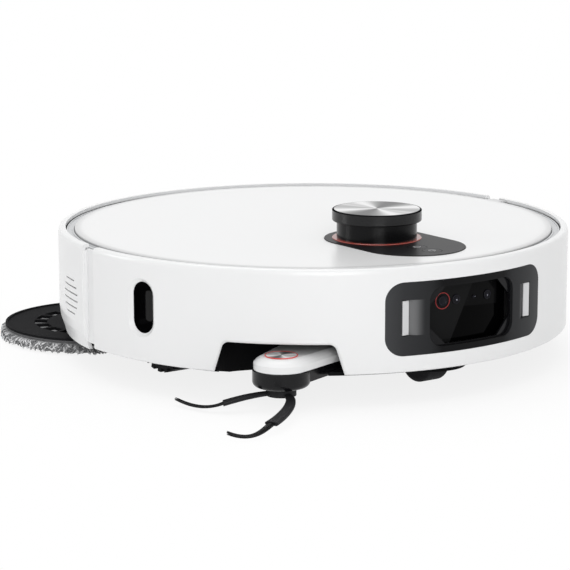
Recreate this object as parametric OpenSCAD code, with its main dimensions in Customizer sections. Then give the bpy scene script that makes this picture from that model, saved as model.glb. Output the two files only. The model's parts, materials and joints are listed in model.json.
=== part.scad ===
// Robot vacuum and mop: a round floor robot with a laser turret, a sprung bumper,
// a side brush on a swinging arm, two lifting, spinning mop pads and a lift-off cover.
// Millimetres, +Z up, front towards -Y, robot's left towards +X.
// The origin is on the floor, below the centre of the round body.
// Azimuth angles start at the front (-Y) and grow towards the robot's left (+X).

/* [Body] */
// Radius of the round body
body_r = 175; // [173:0.5:177]
// Height of the rim above the floor
rim_z = 87.5; // [87:0.25:89]
// Thickness of the moulded outer walls
wall = 2.5; // [2.3:0.1:2.7]
// Height of the rounded shoulder below the rim
shoulder_h = 4; // [3.5:0.25:4.5]
// Width of the rounded shoulder, inwards from the wall
shoulder_w = 2; // [1.8:0.1:2.2]
// Height of the bumper's lower edge
skirt_z = 20.5; // [20:0.25:22]
// Clearance between the floor and the flat underside
ground_gap = 12; // [11.5:0.25:12.5]
// Thickness of the lift-off cover plate
cover_thick = 2.45; // [2.2:0.05:2.6]
// Width of the groove between the cover and the rim's lip
groove_w = 6.1; // [5.8:0.1:6.6]

/* [Bumper] */
// Travel of the bumper towards the back
bumper_travel = 3; // [2:0.25:3]
// Azimuth at which the bumper ends on either side
bumper_end = 90.7; // [90:0.1:91]
// Width of the dark front bezel, across
bezel_w = 126; // [124:1:128]
// Height of the dark front bezel
bezel_h = 47.2; // [45:0.5:48]
// Corner radius of the front bezel
bezel_corner = 12; // [8:1:14]
// Width of the camera window in the bezel
window_w = 68; // [66:1:70]
// Height of the camera window in the bezel
window_h = 38.5; // [37:0.5:39]
// Corner radius of the camera window
window_corner = 9; // [7:0.5:10]
// Azimuth of the upright light strips
strip_azimuth = 16.45; // [16.2:0.05:16.7]
// Height of the upright light strips
strip_h = 23; // [20:1:26]
// Width of the pill-shaped opening for the side sensor
pill_w = 17; // [15.5:0.5:17.5]
// Height of the pill-shaped opening
pill_h = 33.6; // [32:0.2:35]
// Azimuth of the side sensor
sensor_azimuth = -74.7; // [-75:0.1:-74]

/* [Turret and panel] */
// Distance of the laser turret's axis in front of the body's centre
turret_offset = 72.4; // [71:0.2:73]
// Radius of the turret's cap
cap_r = 29.8; // [29.4:0.1:30.5]
// Radius of the turret's dark neck
neck_r = 26.7; // [26:0.1:27]
// Height of the turret's top above the floor
turret_top = 106.7; // [105:0.5:108]
// Radius of the rounded ends of the control panel
panel_r = 34.9; // [34.5:0.1:36]
// Distance between the centres of the panel's rounded ends
panel_span = 37.9; // [36:0.1:38.5]
// Radius of the two keys
key_r = 6.4; // [5.5:0.1:6.6]
// Travel of the keys
key_travel = 0.6; // [0.4:0.1:0.8]

/* [Side brush] */
// Distance from the arm's pivot to the brush's axis
arm_reach = 46.3; // [45.5:0.1:47]
// Radius of the white cover over the brush motor
arm_cover_r = 17.4; // [17:0.1:18]
// Radius of the black brush motor housing
motor_r = 18.2; // [17:0.1:18.4]
// Swing of the arm from extended to tucked in, in degrees
arm_swing = 48; // [40:1:49]
// Reach of the brush's bristles from its axis
brush_reach = 81; // [76:1:82]

/* [Wheels] */
// Radius of the drive wheels, over their lugs
wheel_r = 34; // [33.5:0.1:34.2]
// Width of the drive wheels
wheel_w = 22; // [20:0.5:22]
// Distance of each drive wheel's middle from the centre line
half_track = 118; // [117:0.25:118.5]
// Number of lugs around a drive wheel
lug_count = 26; // [16:2:30]
// How far the drive wheels drop on their arms, in degrees
wheel_drop = 12; // [6:1:12]
// Radius of the caster wheel
caster_r = 16; // [15.2:0.1:16.2]

/* [Main brush] */
// Radius of the main brush over its blades
roller_r = 19.5; // [18:0.25:19.8]
// Length of the main brush
roller_len = 168; // [160:2:170]
// Number of blades on the main brush
blade_count = 8; // [4:2:10]

/* [Mops] */
// Radius of the round mop pads
mop_r = 67; // [64:0.5:67.5]
// Thickness of the mop pads
pad_thick = 8; // [7:0.25:8]
// Distance of the mop axes from the centre line when tucked in
mop_x = 69.5; // [69:0.25:70]
// Distance of the mop axes behind the body's centre when tucked in
mop_y = 80; // [79.5:0.25:81]
// Swing of the extending mop's arm, in degrees
mop_swing = 59; // [50:1:60]
// Lift of the mop pads
mop_lift = 4; // [2:0.5:4]

/* [Dust bin] */
// Width of the dust bin
bin_w = 140; // [130:1:140]
// Depth of the dust bin, front to back
bin_d = 84; // [76:1:84]
// Number of pleats in the bin's filter
pleat_count = 9; // [5:1:11]

/* [Hidden] */
$fn = 96;
fit = 0.05; // radial clearance of a running fit
gap = 0.3; // clearance between pieces that move past each other
eps = 0.01; // overshoot of a cut past the face it leaves
far = 400; // longer than anything a cut passes through

// Heights
shoulder_z = rim_z - shoulder_h;
lip_z = rim_z - 2.2; // underside of the rim's inward lip
cover_top = rim_z - 0.85;
cover_bottom = cover_top - cover_thick;
ring_top = lip_z - gap; // top of the ring in the groove
deck_bottom = cover_bottom - 3.2;
ledge_z = cover_bottom - 1.2; // the ledge that the groove's ring sits on
bevel_end_z = skirt_z - 1.8; // outer end of the bevelled underside
floor_z = ground_gap + 6.5; // upper face of the base plate
seat_z = skirt_z + 0.5; // raised edge of the base plate, where the shells sit

// Radii
ridge_r = body_r - shoulder_w;
lip_r = ridge_r - 3;
cover_r = lip_r - groove_w;
inside_r = body_r - wall;
fixed_r = inside_r - bumper_travel; // the pressed bumper reaches this far in
flange_r = fixed_r - 1.5; // the deck's ledge
rear_start = 95.6; // azimuth at which the rear shell's wall begins
frame_r = body_r - 14; // outside of the inner frame
frame_wall = 2.5;
bevel_r = body_r - 35; // where the bevelled underside starts
base_r = body_r - 7;
raised_r = frame_r - 11; // the base plate's edge is raised outside this

// Front bezel and camera
bezel_z = 54.4;
bezel_back_r = inside_r - 1.5;
window_z = 54.25;
window_chamfer = 12; // the trim cuts the window's corners off this far
camera_front_r = bezel_back_r - bumper_travel - 1.2;
glass_thick = 1.8;
camera_w = 70;
camera_h = 42;
camera_z = 54.9;
camera_corner = 9;
camera_back_r = camera_front_r - glass_thick - 12;
lens_z = 62.2;
strip_z = 55;
strip_x = span(body_r * sin(strip_azimuth), 4.8); // the strips are flat and face the front
strip_floor_y = 1.7 - body_r * cos(strip_azimuth);
strip_thick = 0.8;
scoop_r = 12; // the pocket's inner side curves into the bezel's face with this radius
scoop_turn = strip_azimuth - 3.35;
pill_z = 55.4;
pill_flare = 2.5; // how far the bumper's wall slopes in round the side sensor

// Turret and panel
turret_y = -turret_offset;
panel_end_y = turret_y - panel_span;
lidar_floor_z = deck_bottom - 15; // underside of the cup that holds the laser
panel_top = cover_top + 0.5;
accent_top = panel_top + 0.5;
cap_z = turret_top - 7.7;
shaft_r = 3; // the laser head turns on a shaft of this radius
head_r = 20;
eye_z = cap_z - 10;
turret_well_r = 31;
disc_thick = 1.2;
home_key_y = panel_end_y - 5.2;
power_key_y = panel_end_y - 20.7;
key_bottom = cover_bottom + 1;

// Side brush arm
hub_angle = 205; // direction from the pivot to the extended hub
arm_pivot = polar(body_r - 39.9, -34.75);
arm_heel_r = 23;
arm_end_r = max(arm_cover_r, motor_r);
hub_axis = arm_pivot + arm_reach * [cos(hub_angle), sin(hub_angle)];
arm_cover_z = 25.5;
arm_cover_top = 33.5;
crown = [[0, 4.2], [1.6, 5.9], [3.6, 7.2], [5.6, 8]]; // steps of the cover's crown: inwards and up
motor_bottom = 14.3;
motor_corner = 3.5;
brush_pin_r = 2.5;
bay_roof_z = 36.2;
bay_clear = 1.4; // room around the swinging arm
notch_azimuth = -43.1;
notch_top_z = 39.7;
notch_top_turn = 12; // half the notch's width at its top, as an angle
notch_foot_turn = 13.8; // and at its foot
notch_corner = 4.5;
notch_lean = 17; // the notch's sides lean inwards by this angle
notch_flare = 2.2; // radius of its rounded edge
strand_z = 10; // height of the brush's rubber strands above the floor at the hub
strand_scale = brush_reach / 81; // stretches the strands, which are drawn for a reach of 81
rubber_strands = [[[-7, 3, strand_z], [-20, 5, strand_z], [-28, 7, 8.5], [-36, 11.5, 6]],
  [[-1, -7.5, strand_z], [-5, -24, strand_z + 0.4], [-24, -38, 7], [-40, -46.6, 6]]];
bristle_strands = [[[-36, 11.5, 6], [-44, 16, 2.2], [-48, 28, 1.6], [-49.5, 45, 4]],
  [[-40, -46.6, 6], [-52, -53.05, 3], [-64, -58, 1], [-69.4, -42, 4]]];

// Wheels
wheel_y = -4;
drop_pivot = [wheel_y - 43, wheel_r + 16]; // y and z of the axis that the wheel's arm turns about
hub_from_pivot = [wheel_y, wheel_r] - drop_pivot;
hub_direction = atan2(hub_from_pivot[1], hub_from_pivot[0]);
stub_r = 4;
wheel_x = span(half_track, wheel_w);
suspension_x = [wheel_x[0] - 10, wheel_x[0] - 2];
well_x = [wheel_x[0] - 11.5, wheel_x[1] + 3];
well_y = [drop_pivot[0] - 10.5, wheel_y + wheel_r + 4.8];
well_top = 74;
well_wall = 2;
swivel_y = -(body_r - 46);
caster_y = swivel_y + 4;
caster_w = 19;
caster_well_r = 22;
caster_well_top = 35;

// Main brush
roller_y = -52;
roller_z = 21.7;
cavity_x = roller_len / 2 + 6; // room for the ends of the roller's axle
cavity_y = [-75, -29];
cavity_top = 44;
duct_x = 24;

// Mops
mop_pivot = polar(body_r - 36, -157.8);
mop_arm_len = norm([-mop_x, mop_y] - mop_pivot);
mop_tucked_angle = 180 + atan((mop_pivot[1] - mop_y) / (mop_pivot[0] + mop_x));
mop_out_angle = mop_tucked_angle - mop_swing;
mop_right = mop_pivot + mop_arm_len * [cos(mop_out_angle), sin(mop_out_angle)];
mop_left = [mop_x, mop_y];
mop_ceiling = ground_gap + 4;
mop_bay_roof = 31;
sleeve_r = 6;
spindle_r = 4;
arm_pin_r = 4;

// Dust bin
pocket_floor = 52;
bin_y = 20; // middle of the bin
bin_bottom = pocket_floor + 2;
bin_corner = 8;
bin_inner_z = [bin_bottom + 2, bin_bottom + 20];
inlet_z = [60, 74]; // heights of the bin's inlet and outlet
outlet_y = [39, 53];
duct_y = [cavity_y[1] - 9.5, bin_y - bin_d / 2 - 5]; // room inside the duct to the bin

// Inside
fan_r = 22;
fan_at = polar(frame_r - frame_wall - fan_r - 5.45, -131.6);
tank_w = 96;
tank_y = [bin_y + bin_d / 2 + 6, body_r - 35];
tank_bottom = mop_bay_roof + 2.5;
board_x = [34, 98];
board_y = [-(body_r - 59), cavity_y[0] - 7];
board_z = 26;

// ---- Helpers ----

// Point at a radius and an azimuth
function polar(r, az) = [r * sin(az), -r * cos(az)];

// The two limits of a span with a given middle
function span(middle, width) = [middle - width / 2, middle + width / 2];

// Points along an arc, in the plane it is drawn in
function arc(centre, r, from, to, steps = 8) =
  [for (i = [0:steps]) let (turn = from + (to - from) * i / steps) centre + r * [cos(turn), sin(turn)]];

// Turns a profile in (radius, height) through a range of azimuths
module sector(from, to) rotate([0, 0, from - 90]) rotate_extrude(angle = to - from) children();

// Ring with a rectangular section
module ring(r_in, r_out, z_from, z_to) translate([0, 0, z_from]) difference() {
  cylinder(r = r_out, h = z_to - z_from);
  translate([0, 0, -1]) cylinder(r = r_in, h = z_to - z_from + 2);
}

// Cylinder from one height to another, at a point
module post(at, r, z_from, z_to) translate([at[0], at[1], z_from]) cylinder(r = r, h = z_to - z_from);

// Rod across the body, at a [y, z], from one x to another
module along_x(at, r, x_from, x_to) translate([x_from, at[0], at[1]]) rotate([0, 90, 0])
  cylinder(r = r, h = x_to - x_from);

// Box between two corners
module block(x, y, z) translate([x[0], y[0], z[0]]) cube([x[1] - x[0], y[1] - y[0], z[1] - z[0]]);

// Rectangle with rounded corners, centred
module rounded_rect(w, h, r) {
  square([w - 2 * r, h], center = true);
  square([w, h - 2 * r], center = true);
  for (x = [-1, 1], y = [-1, 1]) translate([x * (w / 2 - r), y * (h / 2 - r)]) circle(r);
}

// Extrudes an upright outline outwards, from one radius to another, at an azimuth and a height
module outward(az, z, r_from, r_to) rotate([0, 0, az]) translate([0, -r_from, z])
  rotate([90, 0, 0]) linear_extrude(r_to - r_from) children();

// Plan of an arm with a round heel at its pivot and a round end, swung from one direction to another
module swung_arm(pivot, reach, heel_r, end_r, from, to) {
  lean = acos((heel_r - end_r) / reach);
  first = pivot + reach * [cos(from), sin(from)];
  last = pivot + reach * [cos(to), sin(to)];
  polygon(concat(
    arc(first, end_r, from - lean, from, 12),
    from == to ? [] : arc(pivot, reach + end_r, from + 2, to - 2, 16),
    arc(last, end_r, to + 0.1, to + lean, 12),
    arc(pivot, heel_r, to + lean, from - lean + 360, 16)));
}

// Places a shape as drawn and once more on the other side of the centre line
module both_sides() {
  children();
  mirror([1, 0, 0]) children();
}

// ---- Shell ----

// Outline of the wall above a lower part: rounded shoulder, inward lip and the inner face
function upper_wall() = concat(
  [for (turn = [0:9:90]) [ridge_r + shoulder_w * cos(turn), shoulder_z + shoulder_h * sin(turn)]],
  [[lip_r, rim_z], [lip_r, lip_z], [inside_r, lip_z]]);

// Outline of the opening for the side brush's arm, seen from outside and grown by a margin
function notch_outline(margin) =
  let (top = body_r * sin(notch_top_turn) - notch_corner, corner_z = notch_top_z - notch_corner)
  let (foot = body_r * sin(notch_foot_turn) + margin)
  concat([for (x = [-1:0.25:1]) [foot * x, skirt_z - 2]],
    arc([top, corner_z], notch_corner + margin, notch_lean, 90),
    [for (x = [0.75:-0.25:-0.75]) [top * x, notch_top_z + margin]],
    arc([-top, corner_z], notch_corner + margin, 90, 180 - notch_lean));

// Outline of the side sensor's opening, grown by a margin
function pill_outline(margin) = let (straight = (pill_h - pill_w) / 2)
  concat(arc([0, straight], pill_w / 2 + margin, 0, 180, 16),
    arc([0, -straight], pill_w / 2 + margin, 180, 360, 16));

// Cutter for an opening's outer edge, from outlines that are wrapped round the body at given radii
module edge_cutter(az, radii, outlines) {
  size = len(outlines[0]);
  last = len(radii) - 1;
  function wrapped(r, x, z) = let (at = polar(r, az + asin(x / body_r))) [at[0], at[1], z];
  middle_z = (max([for (p = outlines[0]) p[1]]) + min([for (p = outlines[0]) p[1]])) / 2;
  polyhedron(
    concat([for (k = [0:last], p = outlines[k]) wrapped(radii[k], p[0], p[1])],
      [wrapped(radii[0] - 8, 0, middle_z), wrapped(radii[last] + 8, 0, middle_z)]),
    concat(
      [for (k = [0:last - 1], i = [0:size - 1], half = [0, 1]) let (next = (i + 1) % size)
        half == 0 ? [k * size + i, (k + 1) * size + i, (k + 1) * size + next]
          : [k * size + i, (k + 1) * size + next, k * size + next]],
      [for (i = [0:size - 1]) [(last + 1) * size, i, (i + 1) % size]],
      [for (i = [0:size - 1]) [(last + 1) * size + 1, last * size + (i + 1) % size, last * size + i]]));
}

// Radii and margins of an edge that rounds outwards
function round_radii(r) = concat([for (turn = [0:25:75]) body_r - r + r * sin(turn)], [body_r + 0.2 * r]);
function round_margins(r) = concat([for (turn = [0:25:75]) r - r * cos(turn)], [1.6 * r]);

module bumper() color("white") {
  difference() {
    sector(-bumper_end, bumper_end) polygon(concat([[inside_r, skirt_z], [body_r - 0.6, skirt_z],
      [body_r, skirt_z + 0.6]], upper_wall()));
    outward(0, bezel_z, body_r - 50, body_r + 5) rounded_rect(bezel_w, bezel_h, bezel_corner);
    outward(sensor_azimuth, pill_z, body_r - 10, body_r + 5) polygon(pill_outline(0));
    translate([0, 0, pill_z]) edge_cutter(sensor_azimuth, [inside_r + 0.3, body_r + 0.5],
      [pill_outline(0), pill_outline(pill_flare + 0.5)]);
    arm_notch();
    edge_cutter(notch_azimuth, round_radii(notch_flare),
      [for (margin = round_margins(notch_flare)) notch_outline(margin)]);
  }
}

// The opening for the side brush's arm, cut straight inwards
module arm_notch() outward(notch_azimuth, 0, body_r - 28, body_r + 5) polygon(notch_outline(0));

// Straight block with the bezel's outline, grown by a margin
module bezel_block(margin) outward(0, bezel_z, body_r - 50, body_r + 5)
  rounded_rect(bezel_w + 2 * margin, bezel_h + 2 * margin, bezel_corner + margin);

// Pocket of a light strip, its inner side curved into the bezel's face
module strip_pocket() translate([0, 0, strip_z - strip_h / 2]) linear_extrude(strip_h) polygon(concat(
  [for (turn = [0:6:36]) polar(body_r + 0.15 - scoop_r, scoop_turn) + polar(scoop_r, scoop_turn + turn)],
  [[strip_x[0] - 0.5, strip_floor_y], [strip_x[1] + 0.5, strip_floor_y], [strip_x[1] + 0.5, -body_r],
  polar(body_r + 1, scoop_turn)]));

module front_bezel() color("dimgray") difference() {
  union() {
    intersection() {
      ring(bezel_back_r, body_r, skirt_z, rim_z);
      bezel_block(-0.1);
    }
    intersection() {
      ring(bezel_back_r, inside_r, skirt_z, rim_z);
      bezel_block(3);
    }
  }
  outward(0, window_z, body_r - 20, body_r + 5) rounded_rect(window_w, window_h, window_corner);
  both_sides() strip_pocket();
}

// Thin dark liner of the camera window that cuts its corners off
module window_trim() color("black") intersection() {
  ring(bezel_back_r, body_r - 2.4, skirt_z, rim_z);
  outward(0, window_z, body_r - 20, body_r + 5) difference() {
    rounded_rect(window_w, window_h, window_corner);
    window_opening(window_w / 2 - 0.8, window_h / 2 - 0.8);
  }
}

// Eight-sided opening in the trim, from its half width and half height
module window_opening(x, z) polygon([
  [x - window_chamfer, -z], [x, window_chamfer - z], [x, z - window_chamfer], [x - window_chamfer, z],
  [window_chamfer - x, z], [-x, z - window_chamfer], [-x, window_chamfer - z], [window_chamfer - x, -z]]);

module light_strips() color("whitesmoke") both_sides()
  block(strip_x, [strip_floor_y - strip_thick, strip_floor_y], span(strip_z, strip_h - 1.2));

// Rows of vent slots whose ends follow a circle
module vent_slots() {
  pitch = 4.5;
  vent_z = 49.5;
  vent_r = 14.5;
  for (row = [-2.5:1:2.5]) translate([0, vent_z + row * pitch])
    square([2 * sqrt(vent_r * vent_r - row * row * pitch * pitch), 0.9], center = true);
}

module rear_shell() color("white") difference() {
  union() {
    sector(rear_start, 360 - rear_start) polygon(concat(
      [[body_r - 6.5, 17], [body_r - 4, 17], [body_r - 3, seat_z], [body_r - 0.7, 27.5], [body_r, 34]],
      upper_wall(),
      [[inside_r, 34], [body_r - 3.2, 27.5], [body_r - 4.8, seat_z + 2], [body_r - 9.8, seat_z + 2],
      [body_r - 9.8, seat_z], [body_r - 5.5, seat_z]]));
    // Tongues that close the gap behind the bumper's ends
    both_sides() {
      sector(rear_start - 11, rear_start + 2) translate([fixed_r, 22]) square([2, ring_top - 22.5]);
      sector(rear_start - 0.15, rear_start + 1.5) translate([fixed_r + 1, 24]) square([3, ring_top - 25.2]);
    }
  }
  outward(-103.3, 0, body_r - 10, body_r + 5) vent_slots();
  difference() {
    for (side = [-1, 1]) outward(180 + side * 14, 43, body_r - 3, body_r + 5) rounded_rect(16, 7, 2);
    cylinder(r = body_r - 1.4, h = rim_z);
  }
  difference() {
    outward(180, 60, body_r - 3, body_r + 5) rounded_rect(40, 16, 5);
    cylinder(r = body_r - 1.2, h = rim_z);
  }
}

module charge_contacts() color("silver") both_sides() intersection() {
  outward(180 + 14, 43, body_r - 3, body_r + 5) rounded_rect(15.8, 6.8, 1.9);
  ring(body_r - 1.4, body_r + 0.2, skirt_z, rim_z);
}

module dock_window() color("black") intersection() {
  outward(180, 60, body_r - 3, body_r + 5) rounded_rect(39.8, 15.8, 4.9);
  ring(body_r - 1.2, body_r, skirt_z, rim_z);
}

// ---- Frame ----

// Plan of the space that the side brush's arm swings through
module arm_space(margin) intersection() {
  swung_arm(arm_pivot, arm_reach, arm_heel_r + margin, arm_end_r + margin, hub_angle - arm_swing, hub_angle);
  circle(base_r + 0.5);
}

// Plan of the space that the extending mop's arm swings through
module mop_arm_space(r, limit) intersection() {
  swung_arm(mop_pivot, mop_arm_len, r + 2, r, mop_out_angle, mop_tucked_angle);
  circle(limit);
}

// Everything that both mop pads pass over, up to a height
module mop_floor(r, height) {
  post(mop_left, r, -1, height);
  post([-mop_x, mop_y], r, -1, height - 0.2);
  post(mop_right, r, -1, height - 0.1);
  translate([mop_pivot[0], mop_pivot[1], -1]) rotate(mop_out_angle)
    rotate_extrude(angle = mop_swing) square([mop_arm_len + r - 0.5, height + 1]);
}

// Flat moulding underneath, open for the main brush, the wheels, the caster and the swinging arms
module base_plate() color("#3a3b3d") difference() {
  union() {
    rotate_extrude() polygon([[0, ground_gap], [bevel_r, ground_gap], [base_r, bevel_end_z], [base_r, seat_z],
      [raised_r, seat_z], [raised_r, floor_z], [0, floor_z]]);
    post(mop_left, 9, mop_ceiling, mop_bay_roof);
  }
  block([-cavity_x, cavity_x], cavity_y, [0, far]);
  both_sides() block(well_x, well_y, [0, far]);
  post([0, swivel_y], caster_well_r + well_wall + gap, 0, far);
  translate([0, 0, -1]) linear_extrude(far) arm_space(bay_clear);
  translate([0, 0, -1]) linear_extrude(far) mop_arm_space(12.5, base_r - 3);
  intersection() {
    mop_floor(mop_r + 1.5, mop_ceiling);
    cylinder(r = bevel_r + 14, h = mop_ceiling + 1);
  }
  post(mop_left, sleeve_r + fit, 0, far);
}

// Chamber over the main brush, with its bearings and the suction mouth in its roof
module brush_chamber() color("#2c2d2f") {
  bearing_z = roller_z + 9;
  difference() {
    block([-cavity_x - 3, cavity_x + 3], [cavity_y[0] - 2, cavity_y[1] + 2], [floor_z, cavity_top + 2]);
    block([-cavity_x, cavity_x], cavity_y, [0, cavity_top]);
    block([-duct_x, duct_x], [duct_y[0], cavity_y[1] - 1], [cavity_top - 1, far]);
  }
  both_sides() difference() {
    union() {
      block([cavity_x - 4.5, cavity_x - gap], span(roller_y, 16), [ground_gap, bearing_z]);
      block([cavity_x - 1, cavity_x + 1], span(roller_y, 16), [floor_z + gap, bearing_z]);
    }
    along_x([roller_y, roller_z], 3 + fit, cavity_x - 6, cavity_x);
  }
}

// Boxes over the drive wheels, each with the pin that its wheel's arm turns on
module wheel_wells() color("#2c2d2f") both_sides() {
  difference() {
    block([well_x[0] - well_wall, well_x[1] + well_wall], [well_y[0] - well_wall, well_y[1] + well_wall],
      [floor_z, well_top + well_wall]);
    block(well_x, well_y, [0, well_top]);
  }
  along_x(drop_pivot, stub_r, well_x[0] - 1, suspension_x[1] + 0.5);
}

// Cup that the caster turns in, hung from the plate by its flange
module caster_cup() color("#2c2d2f") difference() {
  union() {
    post([0, swivel_y], caster_well_r + well_wall, ground_gap, caster_well_top + 1.5);
    post([0, swivel_y], 8, caster_well_top, caster_well_top + 9);
    intersection() {
      post([0, swivel_y], caster_well_r + 5, floor_z, floor_z + 2);
      cylinder(r = raised_r - gap, h = far);
    }
  }
  post([0, swivel_y], caster_well_r, 0, caster_well_top);
  post([0, swivel_y], 5 + fit, 0, far);
}

module inner_frame() color("dimgray") difference() {
  ring(frame_r - frame_wall, frame_r, seat_z, deck_bottom);
  outward(0, camera_z - camera_h / 2, 100, body_r) translate([-camera_w / 2 - gap, 0])
    square([camera_w + 2 * gap, camera_h + gap]);
  arm_notch();
  translate([0, 0, -1]) linear_extrude(bay_roof_z + 3) arm_space(bay_clear + 2);
  translate([0, 0, -1]) linear_extrude(mop_bay_roof + 3.5) mop_arm_space(14.5, body_r);
}

// Housing over the side brush's arm, open to the front and below, with the arm's pivot pin
module side_arm_bay() color("#2c2d2f") {
  difference() {
    linear_extrude(bay_roof_z + 2) arm_space(bay_clear + 2);
    translate([0, 0, -1]) linear_extrude(bay_roof_z + 1) arm_space(bay_clear);
    translate([0, 0, -1]) cylinder(r = base_r + 1, h = floor_z + 1);
    ring(raised_r, body_r, 0, seat_z);
    arm_notch();
  }
  post(arm_pivot, arm_pin_r, motor_bottom + 3, bay_roof_z + eps);
}

// Housing over the extending mop's arm, with the arm's pivot pin
module mop_bay() color("#2c2d2f") {
  difference() {
    linear_extrude(mop_bay_roof + 2.5) mop_arm_space(14.5, base_r - 1);
    translate([0, 0, -1]) linear_extrude(mop_bay_roof + 1) mop_arm_space(12.5, base_r - 3);
    translate([0, 0, -1]) cylinder(r = base_r + 1, h = floor_z + 1);
    ring(raised_r, body_r, 0, seat_z + 2 + gap);
  }
  post(mop_pivot, arm_pin_r, floor_z, mop_bay_roof + eps);
}

module deck() color("gray") difference() {
  union() {
    post([0, 0], flange_r, deck_bottom, ledge_z);
    post([0, 0], cover_r + 0.4, deck_bottom, cover_bottom);
    block(span(0, bin_w + 6), span(bin_y, bin_d + 6), [pocket_floor, deck_bottom + 1]);
  }
  block(span(0, bin_w + 1), span(bin_y, bin_d + 1), [bin_bottom, far]);
  block([-duct_x, duct_x], [-50, bin_y], inlet_z);
  block([-bin_w, 0], outlet_y, inlet_z);
  post([0, turret_y], turret_well_r, 0, far);
}

// Ring in the groove around the cover, with a shallow channel
module groove_ring() color("lightgray") difference() {
  ring(cover_r + 0.4, fixed_r - gap, ledge_z, ring_top);
  ring(cover_r + 1.6, fixed_r - gap - 1, ring_top - 0.4, rim_z);
}

module stadium(r) {
  for (y = [turret_y, panel_end_y]) translate([0, y]) circle(r);
  translate([-r, panel_end_y]) square([2 * r, panel_span]);
}

module top_cover() color("white") {
  difference() {
    translate([0, 0, cover_bottom]) rotate_extrude() polygon(concat(
      [[0, 0], [cover_r - 0.3, 0], [cover_r, 0.3]],
      arc([cover_r - 0.9, cover_thick - 0.9], 0.9, 0, 90, 4), [[0, cover_thick]]));
    translate([0, 0, cover_bottom - 1]) linear_extrude(far) stadium(panel_r + gap);
    post([0, 0], 8, cover_bottom - 1, cover_bottom + 0.6);
  }
  // Tab that bridges the groove, to lift the cover by
  difference() {
    block([cover_r - 3, lip_r - 1.2], [-6.5, 6.5], [lip_z, cover_top]);
    post([cover_r + 2.6, 0], 1.6, lip_z - 1, cover_top - 0.8);
  }
}

module control_panel() color("black") difference() {
  translate([0, 0, cover_bottom]) linear_extrude(panel_top - cover_bottom) stadium(panel_r);
  post([0, turret_y], cap_r, 0, far);
  for (y = [home_key_y, power_key_y]) post([0, y], key_r + gap, 0, far);
}

module key(y) color("#2a2a2c") {
  post([0, y], key_r, key_bottom, panel_top);
}

module home_key() key(home_key_y);
module power_key() key(power_key_y);

// ---- Laser turret ----

module lidar_base() color("#232325") {
  difference() {
    union() {
      post([0, turret_y], turret_well_r, lidar_floor_z, cover_bottom);
      post([0, turret_y], turret_well_r + 3, deck_bottom - 4, deck_bottom);
    }
    post([0, turret_y], neck_r - 1.8, lidar_floor_z + 3, far);
  }
  post([0, turret_y], shaft_r, lidar_floor_z + 2, cap_z - 4);
}

module accent_ring() color("tomato") translate([0, turret_y, 0]) rotate_extrude() polygon([
  [neck_r, cover_bottom], [cap_r, cover_bottom], [cap_r, accent_top - 0.3], [cap_r - 0.3, accent_top],
  [neck_r, accent_top]]);

module turret_window() color("#101012") translate([0, turret_y, 0])
  ring(neck_r - 1.5, neck_r, cover_bottom, cap_z);

module turret_cap() color("#1c1c1e") translate([0, turret_y, 0]) rotate_extrude() polygon(concat(
  [[0, cap_z], [cap_r - 0.8, cap_z]], arc([cap_r - 0.8, cap_z + 0.8], 0.8, -90, 0, 4),
  [[cap_r, turret_top - 0.5], [cap_r - 0.4, turret_top - 0.1], [cap_r - 0.8, turret_top - 0.1],
  [cap_r - 0.8, turret_top - disc_thick], [0, turret_top - disc_thick]]));

module turret_disc() color("silver") translate([0, turret_y, 0])
  post([0, 0], cap_r - 0.9, turret_top - disc_thick, turret_top);

// Turning head of the laser, with its two eyes
module lidar_head() color("#303034") translate([0, turret_y, 0]) difference() {
  union() {
    post([0, 0], neck_r - 2.5, lidar_floor_z + 5, lidar_floor_z + 10);
    post([0, 0], head_r, lidar_floor_z + 9, cap_z - 2);
  }
  post([0, 0], shaft_r + fit, 0, far);
  for (x = [-9, 9]) translate([x, 0, eye_z]) rotate([90, 0, 0]) cylinder(r = 4, h = 30);
}

// ---- Camera and sensors ----

module camera_housing() color("#26272a") {
  difference() {
    intersection() {
      outward(0, camera_z, camera_back_r, body_r) rounded_rect(camera_w, camera_h, camera_corner);
      cylinder(r = camera_front_r - glass_thick, h = rim_z);
    }
    outward(0, camera_z, camera_back_r - 1, camera_back_r + 6)
      rounded_rect(camera_w - 6, camera_h - 6, camera_corner - 3);
  }
}

module camera_glass() color("#0c0c0e") intersection() {
  ring(camera_front_r - glass_thick, camera_front_r, seat_z, rim_z);
  outward(0, camera_z, body_r - 30, body_r) rounded_rect(camera_w - 2, camera_h - 2, camera_corner - 1);
}

module camera_ring() color("orangered") intersection() {
  ring(camera_front_r, camera_front_r + 0.4, seat_z, rim_z);
  outward(-6.6, lens_z, body_r - 20, body_r) difference() {
    circle(5.4);
    circle(4.9);
  }
}

module camera_lenses() color("#2b2f3a") intersection() {
  ring(camera_front_r, camera_front_r + 0.5, seat_z, rim_z);
  for (az = [-3.1, 5.9]) outward(az, lens_z, body_r - 20, body_r) circle(3.2);
}

// Dark cup right behind the bumper's opening, with an upright lens at its bottom
module side_sensor() color("#17181a") {
  difference() {
    intersection() {
      outward(sensor_azimuth, pill_z, frame_r - 4, body_r) polygon(pill_outline(4));
      ring(frame_r, inside_r - 1.3, skirt_z, rim_z);
    }
    outward(sensor_azimuth, pill_z, frame_r + 3, body_r) polygon(pill_outline(0.5));
  }
  intersection() {
    outward(sensor_azimuth, pill_z, frame_r + 2, body_r) rounded_rect(8, 20, 3.9);
    ring(frame_r + 2, frame_r + 6, skirt_z, rim_z);
  }
}

// ---- Inside ----

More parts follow.
